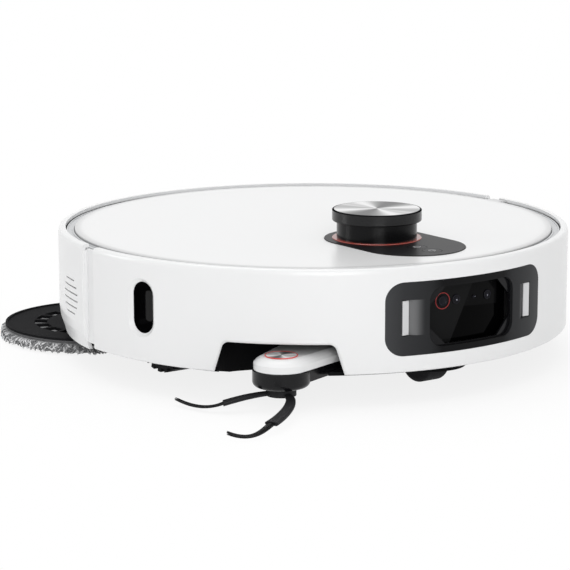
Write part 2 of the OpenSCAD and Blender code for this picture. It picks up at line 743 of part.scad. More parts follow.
module air_duct() color("#4a4b4e") difference() {
  block([-duct_x - 2, duct_x + 2], [duct_y[0] - 2, duct_y[1] + 2], [cavity_top + 2, inlet_z[1] + 3]);
  block([-duct_x, duct_x], duct_y, [cavity_top + 1, inlet_z[1]]);
  block([-duct_x, duct_x], [duct_y[0], 0], inlet_z);
}

module battery() color("royalblue") block([-37, 37], [-22, 58], [floor_z, 50]);

module main_board() color("seagreen") {
  chips_y = board_y[0] + 10;
  block(board_x, board_y, [board_z, board_z + 1.6]);
  for (x = [board_x[0] + 3, board_x[1] - 3], y = [board_y[0] + 3, board_y[1] - 3])
    post([x, y], 2, floor_z, board_z);
  block([board_x[0] + 12, board_x[0] + 26], [chips_y, chips_y + 14], [board_z + 1.6, board_z + 3.2]);
  block([board_x[0] + 34, board_x[0] + 50], [chips_y + 6, chips_y + 16], [board_z + 1.6, board_z + 7]);
}

module suction_fan() color("#55575a") difference() {
  union() {
    post(fan_at, fan_r, mop_bay_roof + 2.5, 74);
    intersection() {
      block([-frame_r, fan_at[0]], [fan_at[1] - 17, fan_at[1] + 3], [40, 62]);
      cylinder(r = frame_r - frame_wall, h = rim_z);
    }
  }
  post(fan_at, 9, 66, far);
}

module water_tank() color("#c9d3dc") difference() {
  union() {
    tank_outline(0, tank_bottom, 44);
    post([26, tank_y[1] - 24], 7, tank_bottom + 40, tank_bottom + 46.5);
  }
  tank_outline(2, tank_bottom + 2, 40);
  post([26, tank_y[1] - 24], 4, tank_bottom + 40, far);
}

// Block with the tank's plan, inset by a margin
module tank_outline(margin, z, height) translate([0, (tank_y[0] + tank_y[1]) / 2, z]) linear_extrude(height)
  rounded_rect(tank_w - 2 * margin, tank_y[1] - tank_y[0] - 2 * margin, 8 - margin);

module brush_guard() color("#2b2c2e") difference() {
  block([-cavity_x - 3.5, cavity_x + 3.5], [cavity_y[0] - 5, cavity_y[1] + 5],
    [ground_gap - 2.5, ground_gap]);
  block([5 - cavity_x, cavity_x - 5], [cavity_y[0] + 2, cavity_y[1] - 2], [0, far]);
}

// ---- Dust bin ----

module bin_outline(margin) rounded_rect(bin_w - 2 * margin, bin_d - 2 * margin, bin_corner - margin);

module dust_bin() color("#8f979e") difference() {
  translate([0, bin_y, bin_bottom]) linear_extrude(cover_bottom - gap - bin_bottom) bin_outline(0);
  translate([0, bin_y, bin_inner_z[0]]) linear_extrude(bin_inner_z[1] - bin_inner_z[0]) bin_outline(2);
  // Inlet from the duct, outlet to the fan through the filter, and a finger recess
  block([-duct_x, duct_x], [-50, 0], inlet_z);
  block([-bin_w, 0], outlet_y, inlet_z);
  translate([0, bin_y, cover_bottom - 7]) linear_extrude(far) rounded_rect(64, 18, 6);
}

// Frame with upright pleats, just inside the bin's outlet
module bin_filter() color("white") {
  pitch = (outlet_y[1] - outlet_y[0]) / pleat_count;
  x = [2.2 - bin_w / 2, 8 - bin_w / 2];
  z = [inlet_z[0], bin_inner_z[1] - 2];
  for (i = [0:pleat_count - 1]) block(x, span(outlet_y[0] + (i + 0.5) * pitch, 0.8), z);
  difference() {
    block(x, [outlet_y[0] - 2, outlet_y[1] + 2], [z[0] - 2, z[1] + 1.7]);
    block([x[0] - 1, x[1] + 1], outlet_y, z);
  }
}

// ---- Side brush ----

module side_arm() color("#1b1b1d") difference() {
  union() {
    translate([0, 0, motor_bottom + 3]) linear_extrude(arm_cover_z - motor_bottom - 3)
      swung_arm(arm_pivot, arm_reach, arm_heel_r - 3, motor_r - 2, hub_angle, hub_angle);
    translate([hub_axis[0], hub_axis[1], 0]) rotate_extrude() polygon(concat([[0, motor_bottom]],
      arc([motor_r - motor_corner, motor_bottom + motor_corner], motor_corner, -90, 0),
      [[motor_r, arm_cover_z - 0.6], [motor_r - 0.6, arm_cover_z], [0, arm_cover_z]]));
  }
  post(arm_pivot, arm_pin_r + fit, 0, far);
  post(hub_axis, brush_pin_r + fit, 0, 23);
}

module side_arm_cover() color("white") difference() {
  hull() for (end = [[hub_axis, arm_cover_r], [arm_pivot, arm_heel_r]], step = crown)
    translate([end[0][0], end[0][1], arm_cover_z]) cylinder(r = end[1] - step[0], h = step[1], $fn = 72);
  post(arm_pivot, arm_pin_r + fit, 0, far);
}

module side_arm_badge() color("silver") post(hub_axis, 10.1, arm_cover_top, arm_cover_top + 0.5);

// Point of a curve with four control points
function bent(p, t) = let (u = 1 - t)
  u * u * u * p[0] + 3 * t * u * u * p[1] + 3 * t * t * u * p[2] + t * t * t * p[3];

// Strand along a curve, its section tapering from one width and thickness to others
module strand(p, width, thickness) {
  section = [[1, -0.4], [1, 0.4], [0.75, 1], [-0.75, 1], [-1, 0.4], [-1, -0.4], [-0.75, -1], [0.75, -1]];
  steps = 12;
  corners = len(section);
  function at(t) = let (c = bent(p, t)) [c[0] * strand_scale, c[1] * strand_scale, c[2]];
  polyhedron(
    [for (k = [0:steps], q = section) let (t = k / steps, ahead = at(t + 0.01) - at(t - 0.01))
      let (side = [ahead[1], -ahead[0], 0] / norm([ahead[0], ahead[1]]))
      at(t) + side * q[0] * (width[0] + (width[1] - width[0]) * t) / 2
        + [0, 0, q[1] * (thickness[0] + (thickness[1] - thickness[0]) * t) / 2]],
    concat([[for (i = [corners - 1:-1:0]) i], [for (i = [0:corners - 1]) steps * corners + i]],
      [for (k = [0:steps - 1], i = [0:corners - 1], half = [0, 1])
        let (a = k * corners, next = (i + 1) % corners)
        half == 0 ? [a + i, a + corners + next, a + corners + i] : [a + i, a + next, a + corners + next]]));
}

module side_brush() color("#161617") translate([hub_axis[0], hub_axis[1], 0]) {
  difference() {
    union() {
      post([0, 0], 9.5, 8.5, motor_bottom - 0.6);
      post([0, 0], brush_pin_r, 8.5, 22);
    }
    post([0, 0], 4, 0, 9.5);
  }
  for (curve = rubber_strands) strand(curve, [5, 9], [2.4, 2.4]);
}

// Bristles that curl and touch down near the floor
module side_bristles() color("#222224") translate([hub_axis[0], hub_axis[1], 0])
  for (curve = bristle_strands) strand(curve, [6.4, 2.4], [1.6, 1.8]);

// ---- Wheels ----

module suspension() color("#3c3e41") {
  difference() {
    translate([suspension_x[0], 0, 0]) rotate([90, 0, 90]) linear_extrude(suspension_x[1] - suspension_x[0])
      swung_arm(drop_pivot, norm(hub_from_pivot), 9, 16, hub_direction, hub_direction);
    along_x(drop_pivot, stub_r + fit, 0, far);
  }
  along_x([wheel_y, wheel_r], stub_r, suspension_x[1] - 1, wheel_x[1] - 2);
}

module wheel() color("#6b6e72") difference() {
  along_x([wheel_y, wheel_r], wheel_r - 8.5, wheel_x[0] + 1, wheel_x[1] - 1);
  along_x([wheel_y, wheel_r], stub_r + fit, 0, far);
  for (spoke = [0:4]) translate([0, wheel_y, wheel_r]) rotate([spoke * 72, 0, 0])
    along_x([0, 15.5], 6, 0, far);
}

module tyre() color("#1d1d1e") {
  difference() {
    along_x([wheel_y, wheel_r], wheel_r - 2.5, wheel_x[0], wheel_x[1]);
    along_x([wheel_y, wheel_r], wheel_r - 8.5, 0, far);
  }
  translate([half_track, wheel_y, wheel_r]) for (lug = [0:lug_count - 1])
    rotate([lug * 360 / lug_count, 0, 0]) translate([-wheel_w / 2, -1.8, -wheel_r]) cube([wheel_w, 3.6, 4]);
}

module suspension_left() suspension();
module suspension_right() mirror([1, 0, 0]) suspension();
module wheel_left() wheel();
module wheel_right() mirror([1, 0, 0]) wheel();
module tyre_left() tyre();
module tyre_right() mirror([1, 0, 0]) tyre();

module caster_fork() color("#2e3033") {
  post([0, swivel_y], caster_well_r - 2, caster_well_top - 2, caster_well_top - 0.4);
  post([0, swivel_y], 5, caster_well_top - 1, caster_well_top + 8.5);
  both_sides() block([caster_w / 2 + 0.5, caster_w / 2 + 2.5], [swivel_y - 4, caster_y + 5],
    [caster_r - 4, caster_well_top - 1.5]);
  along_x([caster_y, caster_r], 2, -caster_w / 2 - 1, caster_w / 2 + 1);
}

module caster_wheel() color("#1d1d1e") translate([0, caster_y, caster_r]) rotate([0, 90, 0]) rotate_extrude()
  intersection() {
    rounded_rect(2 * caster_r, caster_w, 3);
    translate([2 + fit, -far / 2]) square(far);
  }

module main_brush() color("#2f3133") {
  along_x([roller_y, roller_z], 9, -roller_len / 2, roller_len / 2);
  along_x([roller_y, roller_z], 3, -roller_len / 2 - 4, roller_len / 2 + 4);
  translate([0, roller_y, roller_z]) for (blade = [0:blade_count - 1])
    rotate([blade * 360 / blade_count, 0, 0]) translate([-roller_len / 2, -1, 8])
      cube([roller_len, 2, roller_r - 8]);
}

// ---- Mops ----

module mop_arm() color("#3c3e41") difference() {
  translate([0, 0, floor_z + 0.5]) linear_extrude(10)
    swung_arm(mop_pivot, mop_arm_len, 10.5, 7.8, mop_out_angle, mop_out_angle);
  post(mop_pivot, arm_pin_r + fit, 0, far);
  post(mop_right, sleeve_r + fit, 0, far);
}

module mop_sleeve(at) color("silver") difference() {
  post(at, sleeve_r, ground_gap, mop_bay_roof - 4.7);
  post(at, spindle_r + fit, 0, far);
}

// Round plate with a raised edge, a ring of slots and the spindle that drives it
module mop_plate(at) color("#46484b") translate([at[0], at[1], 0]) {
  difference() {
    post([0, 0], mop_r - 1.6, pad_thick, pad_thick + 2.9);
    post([0, 0], mop_r - 3.4, pad_thick + 2.1, far);
    for (slot = [0:17]) rotate(slot * 20) sector(-8, 8) translate([36, pad_thick - 1]) square([9, far]);
  }
  post([0, 0], 10, pad_thick + 1, ground_gap - 0.5);
  post([0, 0], spindle_r, pad_thick + 1, mop_bay_roof - 5.5);
}

module mop_pad(at) color("lightgray") post(at, mop_r, 0, pad_thick);

module mop_sleeve_left() mop_sleeve(mop_left);
module mop_sleeve_right() mop_sleeve(mop_right);
module mop_plate_left() mop_plate(mop_left);
module mop_plate_right() mop_plate(mop_right);
module mop_pad_left() mop_pad(mop_left);
module mop_pad_right() mop_pad(mop_right);

base_plate();
brush_chamber();
wheel_wells();
caster_cup();
inner_frame();
deck();
groove_ring();
rear_shell();
control_panel();
accent_ring();
lidar_base();
turret_window();
turret_cap();
turret_disc();
lidar_head();
camera_housing();
camera_glass();
camera_ring();
camera_lenses();
side_sensor();
side_arm_bay();
mop_bay();
air_duct();
battery();
main_board();
suction_fan();
water_tank();
brush_guard();
charge_contacts();
dock_window();
bumper();
front_bezel();
window_trim();
light_strips();
top_cover();
dust_bin();
bin_filter();
power_key();
home_key();
side_arm();
side_arm_cover();
side_arm_badge();
side_brush();
side_bristles();
suspension_left();
suspension_right();
wheel_left();
wheel_right();
tyre_left();
tyre_right();
caster_fork();
caster_wheel();
main_brush();
mop_arm();
mop_sleeve_left();
mop_sleeve_right();
mop_plate_left();
mop_plate_right();
mop_pad_left();
mop_pad_right();
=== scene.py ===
"""Looks of a round robot vacuum: camera, stage, materials and the fine pieces the solids leave plain."""
import json
import math

import bpy
import numpy as np
from mathutils import Matrix, Vector


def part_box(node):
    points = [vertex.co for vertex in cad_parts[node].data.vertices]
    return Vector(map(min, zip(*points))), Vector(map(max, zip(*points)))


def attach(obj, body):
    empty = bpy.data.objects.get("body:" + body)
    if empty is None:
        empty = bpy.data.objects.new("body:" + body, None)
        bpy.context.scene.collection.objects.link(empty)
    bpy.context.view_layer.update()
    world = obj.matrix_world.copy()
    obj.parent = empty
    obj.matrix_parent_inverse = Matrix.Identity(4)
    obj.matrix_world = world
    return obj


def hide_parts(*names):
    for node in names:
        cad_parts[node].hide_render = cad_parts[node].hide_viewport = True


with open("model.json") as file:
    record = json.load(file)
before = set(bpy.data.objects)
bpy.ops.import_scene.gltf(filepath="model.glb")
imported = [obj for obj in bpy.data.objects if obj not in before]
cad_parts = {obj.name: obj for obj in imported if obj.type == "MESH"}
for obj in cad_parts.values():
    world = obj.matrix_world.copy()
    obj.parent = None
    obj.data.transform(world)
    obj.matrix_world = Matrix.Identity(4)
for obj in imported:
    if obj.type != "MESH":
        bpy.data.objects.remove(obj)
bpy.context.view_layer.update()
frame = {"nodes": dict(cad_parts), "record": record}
MM = 0.001


def middle(node):
    """Centre of a CAD node's box, in metres."""
    low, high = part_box(node)
    return np.array([(a + b) / 2 for a, b in zip(low, high)])


# ---------------------------------------------------------------- shader maths

class Value:
    """A shader socket that can be used in arithmetic."""

    def __init__(self, paint, socket):
        self.paint = paint
        self.socket = socket

    def _math(self, operation, *others):
        return self.paint.node("ShaderNodeMath", {"operation": operation}, dict(enumerate(others)))

    def __add__(self, other):
        return self._math("ADD", self, other)

    __radd__ = __add__

    def __sub__(self, other):
        return self._math("SUBTRACT", self, other)

    def __rsub__(self, other):
        return self._math("SUBTRACT", other, self)

    def __mul__(self, other):
        return self._math("MULTIPLY", self, other)

    __rmul__ = __mul__

    def __truediv__(self, other):
        return self._math("DIVIDE", self, other)

    def __pow__(self, other):
        return self._math("POWER", self, other)

    def __gt__(self, other):
        return self._math("GREATER_THAN", self, other)

    def __lt__(self, other):
        return self._math("LESS_THAN", self, other)

    def fn(self, operation, *others):
        return self._math(operation, self, *others)


def length(x, y):
    """Distance of (x, y) from the axis."""
    return (x * x + y * y).fn("SQRT")


class Paint:
    """A material under construction; every node comes from node()."""

    def __init__(self, name):
        self.material = bpy.data.materials.new(name)
        self.material.use_nodes = True
        self.tree = self.material.node_tree
        self.tree.nodes.clear()
        self.out = self.tree.nodes.new("ShaderNodeOutputMaterial")

    def node(self, kind, settings=None, values=None, pick=0):
        """Adds a node with settings and input values, and gives the output numbered pick."""
        made = self.tree.nodes.new(kind)
        for key, value in (settings or {}).items():
            if key == "stops":
                ramp = made.color_ramp
                while len(ramp.elements) < len(value):
                    ramp.elements.new(0.5)
                for element, (place, colour) in zip(ramp.elements, value):
                    element.position = place
                    element.color = (*colour, 1) if len(colour) == 3 else colour
            else:
                setattr(made, key, value)
        for key, value in (values or {}).items():
            if isinstance(value, Value):
                self.tree.links.new(value.socket, made.inputs[key])
            else:
                made.inputs[key].default_value = value
        return Value(self, made.outputs[pick])

    def place(self):
        """Object coordinates, in metres."""
        return self.node("ShaderNodeTexCoord", pick=3)

    def xyz(self):
        """The three object coordinates, each by itself."""
        split = self.tree.nodes.new("ShaderNodeSeparateXYZ")
        self.tree.links.new(self.place().socket, split.inputs[0])
        return [Value(self, split.outputs[i]) for i in range(3)]

    def noise(self, scale, detail=3.0, rough=0.5, place=None, stretch=None):
        """Noise with so many cells to a metre, about 0.5 on average."""
        place = place or self.place()
        if stretch:
            place = self.node("ShaderNodeMapping", None, {0: place, 3: stretch})
        return self.node("ShaderNodeTexNoise", None,
                         {0: place, "Scale": scale, "Detail": detail, "Roughness": rough})

    def ramp(self, value, stops):
        """Colours blended along a value; stops are (value, colour)."""
        return self.node("ShaderNodeValToRGB", {"stops": stops}, {0: value})

    def mix(self, mask, a, b):
        """Colour a where the mask is 0 and b where it is 1."""
        a, b = ((*c, 1) if isinstance(c, tuple) and len(c) == 3 else c for c in (a, b))
        return self.node("ShaderNodeMix", {"data_type": "RGBA"}, {0: mask, 6: a, 7: b}, pick=2)

    def bump(self, height, depth, strength=1.0, under=None):
        """A normal for relief of a depth in metres, over the normal under it."""
        values = {"Strength": strength, "Distance": depth, "Height": height}
        if under:
            values["Normal"] = under
        return self.node("ShaderNodeBump", None, values)

    def smooth(self, value, low, high, start=0.0, end=1.0):
        """The value start up to low and end from high, with an S between."""
        return self.node("ShaderNodeMapRange", {"interpolation_type": "SMOOTHSTEP"},
                         {0: value, 1: low, 2: high, 3: start, 4: end})

    def shader(self, **values):
        """A Principled shader with the given sockets, named with underscores."""
        return self.node("ShaderNodeBsdfPrincipled", None,
                         {key.replace("_", " "): value for key, value in values.items()})

    def end(self, shader):
        """Ends the material in a shader."""
        self.tree.links.new(shader.socket, self.out.inputs[0])
        return self.material

    def finish(self, **values):
        """Ends the material in one Principled shader."""
        return self.end(self.shader(**values))


COAT_ROUGHNESS = 0.12


def tint(colour, factor):
    """A colour made lighter or darker."""
    return tuple(min(1.0, c * factor) for c in colour[:3]) + (1.0,)


def moulded(name, colour, rough, grain=0.000004, grain_size=0.0009, vary=0.03, coat=0.0, ior=1.46):
    """Moulded plastic: slow colour drift, patchy gloss, fine surface grain and a faint ripple."""
    paint = Paint(name)
    drift = paint.noise(9.0, 4.0, 0.6)
    speck = paint.noise(1 / grain_size, 2.0, 0.6)
    shade = drift * 0.7 + speck * 0.3
    base = paint.ramp(shade, [(0.3, tint(colour, 1 - vary)), (0.7, tint(colour, 1 + vary))])
    gloss = (drift - 0.5) * 0.05 + (speck - 0.5) * 0.05 + rough
    ripple = paint.bump(paint.noise(70.0, 1.0), 0.00012, 0.25)
    normal = paint.bump(speck, grain, 0.5, ripple)
    return paint.finish(Base_Color=base, Roughness=gloss, Normal=normal, Coat_Weight=coat,
                        Coat_Roughness=COAT_ROUGHNESS, IOR=ior)


def spun_metal(name, centre, shades=(0.1, 0.4, 0.88), ring=0.00035, metal=0.6, rim=1.0):
    """Metal turned on a lathe: fine rings about an upright axis, with bright and dark fans of reflection
    painted into its colour.

    A fan is the cosine of twice the angle round the axis, raised to a power that sets how narrow it is.
    Two painted highlight fans cross almost square, a wide fan of painted shade lies between them, and a thin
    painted highlight streak stands nearly opposite that. The shades are those of the painted dark fan, the
    plain metal and the painted bright fans. The metal ends in black at the radius rim.
    """
    paint = Paint(name)
    x, y, _ = paint.xyz()
    dx, dy = x - centre[0], y - centre[1]
    reach = length(dx, dy)
    rings = paint.noise(1 / ring, 2.0, 0.7, paint.node("ShaderNodeCombineXYZ", None, {0: reach}))
    turn = dy.fn("ARCTAN2", dx)

    def fan(degrees, narrow):
        return ((turn * 2 - math.radians(2 * degrees)).fn("COSINE") * 0.5 + 0.5) ** narrow

    # Painted reflection: highlight fans and a fan of shade set into the base colour at fixed angles
    bright, dark, streak = fan(76, 11.0) + fan(-21, 11.0), fan(30, 3.0), fan(107, 60.0)
    light = bright * 0.5 - dark * 0.42 + streak * 0.22
    base = paint.ramp(light + (rings - 0.5) * 0.16 + 0.45, [
        (0.05, (shades[0],) * 3), (0.45, (shades[1],) * 3), (0.93, (shades[2],) * 3)])
    inside = reach < rim
    return paint.finish(
        Base_Color=paint.mix(inside, (0.004, 0.004, 0.005), base), Metallic=inside * metal,
        Roughness=(rings - 0.5) * 0.12 + 0.3, Normal=paint.bump(rings, 0.00004, 0.5), IOR=1.06)


def rubber(name, colour=(0.011, 0.011, 0.012), rough=0.5):
    """Soft rubber with dust in its grain."""
    paint = Paint(name)
    grain = paint.noise(1400.0, 3.0, 0.7)
    dust = paint.noise(60.0, 5.0, 0.7)
    base = paint.ramp(dust, [(0.35, tint(colour, 1)), (0.8, tint(colour, 2.4))])
    return paint.finish(Base_Color=base, Roughness=(dust - 0.5) * 0.25 + rough,
                        Normal=paint.bump(grain, 0.00006, 0.5), IOR=1.2)


def filter_paper(name):
    """Filter paper with visible fibres along X."""
    paint = Paint(name)
    fibre = paint.noise(900.0, 6.0, 0.8, stretch=(1, 6, 1))
    base = paint.ramp(fibre, [(0.3, (0.6, 0.6, 0.57)), (0.7, (0.85, 0.85, 0.82))])
    return paint.finish(Base_Color=base, Roughness=(fibre - 0.5) * 0.2 + 0.85,
                        Normal=paint.bump(fibre, 0.0001, 0.5))


def board(name):
    """Circuit board: green mask with fine tracks."""
    paint = Paint(name)
    x, y, _ = paint.xyz()
    lengthwise = (x * 2400 + (y * 90).fn("SINE") * 3).fn("SINE") > 0.82
    track = lengthwise.fn("MAXIMUM", (y * 1900).fn("SINE") > 0.9)
    base = paint.mix(track, (0.01, 0.12, 0.05), (0.03, 0.26, 0.1))
    return paint.finish(Base_Color=base, Roughness=track * 0.15 + 0.35,
                        Normal=paint.bump(track, 0.00003, 0.6))


WHITE = (0.87, 0.873, 0.876)
TURRET = (0.0, middle("turret_cap")[1])
BADGE = middle("side_arm_badge")[:2]

FINISHES = {
    "shell_white": moulded("shell_white", WHITE, 0.3, 0.000006, vary=0.005, coat=0.25),
    "ring_grey": moulded("ring_grey", (0.6, 0.61, 0.62), 0.42, 0.00001, vary=0.02),
    "light_white": moulded("light_white", (0.66, 0.66, 0.67), 0.3, vary=0.02),
    "bezel_grey": moulded("bezel_grey", (0.03, 0.031, 0.033), 0.36, 0.00001, vary=0.05, ior=1.2),
    "panel_black": moulded("panel_black", (0.008, 0.008, 0.009), 0.34, vary=0.05, ior=1.16),
    "window_black": moulded("window_black", (0.004, 0.004, 0.005), 0.06, vary=0.05, ior=1.16),
    "accent_red": moulded("accent_red", (0.75, 0.12, 0.045), 0.3, vary=0.05, coat=0.3),
    "base_black": moulded("base_black", (0.005, 0.005, 0.0055), 0.5, 0.00004, vary=0.12, ior=1.12),
    "frame_grey": moulded("frame_grey", (0.05, 0.05, 0.053), 0.5, 0.00003, vary=0.1, ior=1.3),
    "arm_black": moulded("arm_black", (0.004, 0.004, 0.005), 0.2, 0.00001, vary=0.1, ior=1.32),
    "battery_blue": moulded("battery_blue", (0.03, 0.09, 0.32), 0.3, vary=0.06, coat=0.3),
    "board_green": board("board_green"),
    "tank_clear": moulded("tank_clear", (0.5, 0.56, 0.6), 0.25, vary=0.04),
    "bin_grey": moulded("bin_grey", (0.16, 0.17, 0.18), 0.25, vary=0.05, coat=0.3),
    "filter_white": filter_paper("filter_white"),
    "brush_rubber": rubber("brush_rubber"),
    "bristle_black": rubber("bristle_black", rough=0.4),
    "gear_grey": moulded("gear_grey", (0.022, 0.022, 0.024), 0.45, 0.00003, vary=0.1, ior=1.3),
    "rim_grey": moulded("rim_grey", (0.06, 0.061, 0.064), 0.45, 0.00003, vary=0.08, ior=1.3),
    "tyre_black": rubber("tyre_black", rough=0.7),
    "plate_grey": moulded("plate_grey", (0.018, 0.018, 0.02), 0.45, 0.00003, vary=0.1, ior=1.1),
    # steel and brushed_metal carry the painted highlight and shade fans of spun_metal
    "steel": spun_metal("steel", (0.0, 0.0), (0.3, 0.5, 0.7), metal=0.85),
    "mop_fibre": rubber("mop_base", (0.4, 0.4, 0.41), 0.9),
    "brushed_metal": spun_metal("brushed_metal", TURRET, rim=0.0285),
}


def cover_finish(name):
    """Lid of shell plastic: painted shade darkens its rim over the last 11 mm, and a painted shadow greys the
    side of its edge.
    """
    paint = Paint(name)
    x, y, z = paint.xyz()
    low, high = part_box("top_cover")
    reach, edge = length(x, y), -low[0]
    speck = paint.noise(1100.0, 2.0, 0.6)
    # Painted shade: the top greys over the last 11 mm towards its rim
    face = paint.ramp(paint.smooth(reach, edge - 11 * MM, edge) + (speck - 0.5) * 0.01, [
        (0.0, WHITE), (0.5, (0.84, 0.843, 0.846)), (1.0, (0.6, 0.602, 0.605))])
    # Painted shadow of the gap round the lid, on the side of its edge
    side = (z < high[2] - 0.7 * MM) * (reach > edge - 0.5 * MM)
    return paint.finish(
        Base_Color=paint.mix(side, face, (0.42, 0.42, 0.425)), Roughness=(speck - 0.5) * 0.05 + 0.3,
        Normal=paint.bump(speck, 0.000006, 0.5), Coat_Weight=0.25, Coat_Roughness=COAT_ROUGHNESS, IOR=1.46)


def cap_finish(name):
    """Satin black cap: the side shows soft reflections and the narrow rim on top stays dull."""
    paint = Paint(name)
    _, _, z = paint.xyz()
    speck = paint.noise(900.0, 3.0, 0.6)
    normal = paint.bump(speck, 0.000008, 0.5)
    black = paint.ramp(speck, [(0.3, (0.006, 0.006, 0.0065)), (0.7, (0.008, 0.0083, 0.009))])
    side = paint.shader(Base_Color=black, Roughness=speck * 0.06 + 0.2, Normal=normal, IOR=1.38)
    top = paint.node("ShaderNodeBsdfDiffuse", None, {"Color": (0.01, 0.01, 0.011, 1), "Normal": normal})
    on_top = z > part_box("turret_cap")[1][2] - 0.6 * MM
    return paint.end(paint.node("ShaderNodeMixShader", None, {0: on_top, 1: side, 2: top}))


def bezel_finish(name):
    """Bezel of satin black with painted sheen that pales it towards both ends, and a painted highlight on the
    scoop beside the strip on -X.
    """
    paint = Paint(name)
    x, _, z = paint.xyz()
    aside = x.fn("ABSOLUTE")
    (_, _, low), (outer, _, high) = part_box("light_strips")
    inner = outer - 4.8 * MM
    speck = paint.noise(1000.0, 2.0, 0.6)
    # Painted sheen: the colour pales from the middle towards both ends
    plain = paint.ramp(aside / (66 * MM) + (speck - 0.5) * 0.02, [
        (0.38, (0.003, 0.003, 0.0035)), (0.5, (0.019, 0.0195, 0.021)), (0.78, (0.032, 0.033, 0.035)),
        (1.0, (0.058, 0.059, 0.062))])
    # Painted highlight on the scoop beside the strip, on the -X side only, where light falls
    beside = paint.smooth(aside, inner - 10.5 * MM, inner - MM) * (aside < inner + 0.6 * MM) * (x < 0.0)
    level = (z - (low + high) / 2).fn("ABSOLUTE") < (high - low) / 2 + 0.4 * MM
    return paint.finish(
        Base_Color=paint.mix(beside * level, plain, (0.17, 0.172, 0.175)), IOR=1.2,
        Roughness=(speck - 0.5) * 0.06 + 0.36, Normal=paint.bump(speck, 0.00001, 0.5))


def glass_finish(name):
    """Smoked window: a slanting edge parts a painted reflection, the paler side, from the dark one, where a
    sensor band shows.
    """
    paint = Paint(name)
    x, _, z = paint.xyz()
    speck = paint.noise(40.0, 3.0, 0.6)
    slant, rise = 0.493, 0.06
    dark_side = paint.smooth(x - z * slant, -31.1 * MM, -30.4 * MM)
    band = paint.smooth(z + x * rise, 56.5 * MM, 57.5 * MM) * (x < 26 * MM)
    dark = paint.mix(band, (0.0008, 0.0008, 0.0009), (0.0045, 0.0045, 0.0047))
    # Painted reflection: the paler side of the slanting edge
    pale = paint.mix(speck * 0.5, (0.009, 0.0092, 0.0095), (0.013, 0.013, 0.0132))
    return paint.finish(Base_Color=paint.mix(dark_side, pale, dark), Roughness=speck * 0.03 + 0.05,
                        Normal=paint.bump(speck, 0.00001, 0.2), IOR=1.1)


def plate_finish(node):
    """Mop plate: dull black, paler grey along its lower edge near the rim."""
    paint = Paint(node)
    x, y, z = paint.xyz()
    speck = paint.noise(1300.0, 3.0, 0.6)
    drift = paint.noise(14.0, 3.0, 0.6)
    top = paint.ramp(drift * 0.6 + speck * 0.4, [(0.3, (0.011, 0.011, 0.012)), (0.7, (0.016, 0.016, 0.017))])
    low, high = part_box(node)
    centre = middle(node)
    reach, radius = length(x - centre[0], y - centre[1]), (high[0] - low[0]) / 2
    edge = (z < low[2] + 1.3 * MM) * (reach > radius - 2 * MM)
    return paint.finish(Base_Color=paint.mix(edge, top, (0.12, 0.12, 0.123)), IOR=1.04,
                        Roughness=(speck - 0.5) * 0.1 + 0.5, Normal=paint.bump(speck, 0.00003, 0.5))


OWN_FINISH = {
    # The badge's bright and dark fans are painted highlights and painted shade
    "side_arm_badge": spun_metal("badge_metal", BADGE, (0.17, 0.55, 1.0), ring=0.0002, metal=0.15),
    "window_trim": moulded("window_trim", (0.006, 0.006, 0.007), 0.18, vary=0.05, ior=1.25),
    "side_sensor": moulded("sensor_black", (0.002, 0.002, 0.0025), 0.12, vary=0.1, ior=1.28),
    "turret_window": moulded("turret_window", (0.002, 0.002, 0.0025), 0.2, vary=0.05, ior=1.26),
    "top_cover": cover_finish("cover_white"),
    "turret_cap": cap_finish("cap_black"),
    "front_bezel": bezel_finish("bezel_black"),
    "camera_glass": glass_finish("smoked_glass"),
    "accent_ring": moulded("ring_red", (0.42, 0.05, 0.03), 0.1, vary=0.05, ior=1.6),
    "camera_ring": moulded("fine_red", (0.3, 0.04, 0.04), 0.3, vary=0.1, ior=1.2),
    "mop_plate_left": plate_finish("mop_plate_left"),
    "mop_plate_right": plate_finish("mop_plate_right"),
}


def dress(node, material):
    """Gives every slot of a CAD node one material."""
    thing = frame["nodes"][node]
    if not thing.material_slots:
        thing.data.materials.append(material)
    for slot in thing.material_slots:
        slot.material = material


for part in frame["record"]["subparts"]:
    dress(part["node"], OWN_FINISH.get(part["node"], FINISHES[part["material_slot"]]))


# ---------------------------------------------------------------- surfaces

def keep(name, points, faces, material, body, stands_for=(), shade=None):
    """Makes one mesh of points in metres and arrays of corners, and hands it to a body.

    stands_for is the CAD nodes that it hides, and shade a number for each point.
    """
    mesh = bpy.data.meshes.new(name)
    mesh.from_pydata(points.tolist(), [], [face for group in faces for face in group.tolist()])
    mesh.polygons.foreach_set("use_smooth", np.ones(len(mesh.polygons), bool))
    if shade is not None:
        mesh.attributes.new("shade", "FLOAT", "POINT").data.foreach_set("value", shade.astype(np.float32))
    mesh.materials.append(material)
    piece = bpy.data.objects.new(name, mesh)
    bpy.context.collection.objects.link(piece)
    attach(piece, body)
    if stands_for:
        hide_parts(*stands_for)
    return piece


def unit(vectors):
    """Vectors scaled to length 1."""
    return vectors / np.maximum(np.linalg.norm(vectors, axis=-1, keepdims=True), 1e-12)


def tubes(curves, radii, sides=5, flat=1.0):
    """Round tubes along many curves at once: centre + radius (cos a * side + flat sin a * lift), ends closed.

    curves is (tubes, rings, 3), radii is (tubes, rings); side lies level and lift stands square to the curve.
    """
    count, rings, _ = curves.shape
    ahead = unit(np.gradient(curves, axis=1))
    upright = np.where(np.abs(ahead[..., 2:]) > 0.95, np.array([1.0, 0, 0]), np.array([0, 0, 1.0]))
    side = unit(np.cross(upright, ahead))
    lift = np.cross(ahead, side) * flat
    turn = (np.arange(sides) * 2 * np.pi / sides)[None, None, :, None]
    points = curves[:, :, None] + radii[:, :, None, None] * (
        np.cos(turn) * side[:, :, None] + np.sin(turn) * lift[:, :, None])
    index = np.arange(count * rings * sides).reshape(count, rings, sides)
    onward = np.roll(index, -1, axis=2)
    walls = np.stack([index[:, :-1], onward[:, :-1], onward[:, 1:], index[:, 1:]], -1).reshape(-1, 4)
    return points.reshape(-1, 3), [walls, index[:, 0, ::-1], index[:, -1]]


